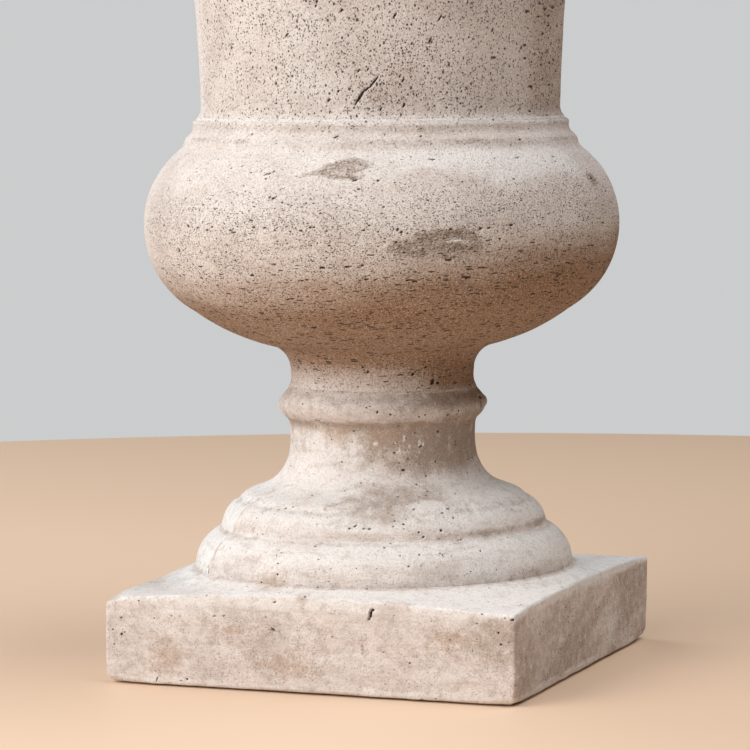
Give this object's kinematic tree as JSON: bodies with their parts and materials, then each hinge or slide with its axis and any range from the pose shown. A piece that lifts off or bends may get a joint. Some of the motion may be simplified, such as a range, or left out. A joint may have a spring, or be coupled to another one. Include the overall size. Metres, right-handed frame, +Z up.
{
  "type": "pedestal urn",
  "caption": "Cast stone pedestal urn with a flared bell, rounded bowl, ringed neck, stepped foot and square plinth, bolted through the neck.",
  "frame": {"origin": "centre of the square footprint, on the floor under the four pads", "axes": "+Z up along the turning axis to the rim; X and Y along the plinth's sides, -Y is the front face"},
  "size_m": [0.3144, 0.3144, 0.54],
  "materials": {
    "body_stone": "matt cast stone, warm grey-beige, finely pitted with air holes",
    "pedestal_stone": "matt cast stone, clouded with pale limewash",
    "mortar": "rubbed pale mortar",
    "zinc_steel": "dull zinc plating",
    "seal_rubber": "matt black",
    "pad_rubber": "matt dark grey"
  },
  "bodies": {
    "root": {"pedestal": "pedestal_stone", "bowl": "body_stone", "bell": "body_stone", "neck_joint_grout": "mortar", "bell_joint_grout": "mortar", "tie_rod": "zinc_steel", "upper_nut": "zinc_steel", "upper_washer": "zinc_steel", "upper_gasket": "seal_rubber", "lower_nut": "zinc_steel", "lower_washer": "zinc_steel", "floor_pad_front_left": "pad_rubber", "floor_pad_front_right": "pad_rubber", "floor_pad_back_left": "pad_rubber", "floor_pad_back_right": "pad_rubber"}
  },
  "joints": []
}
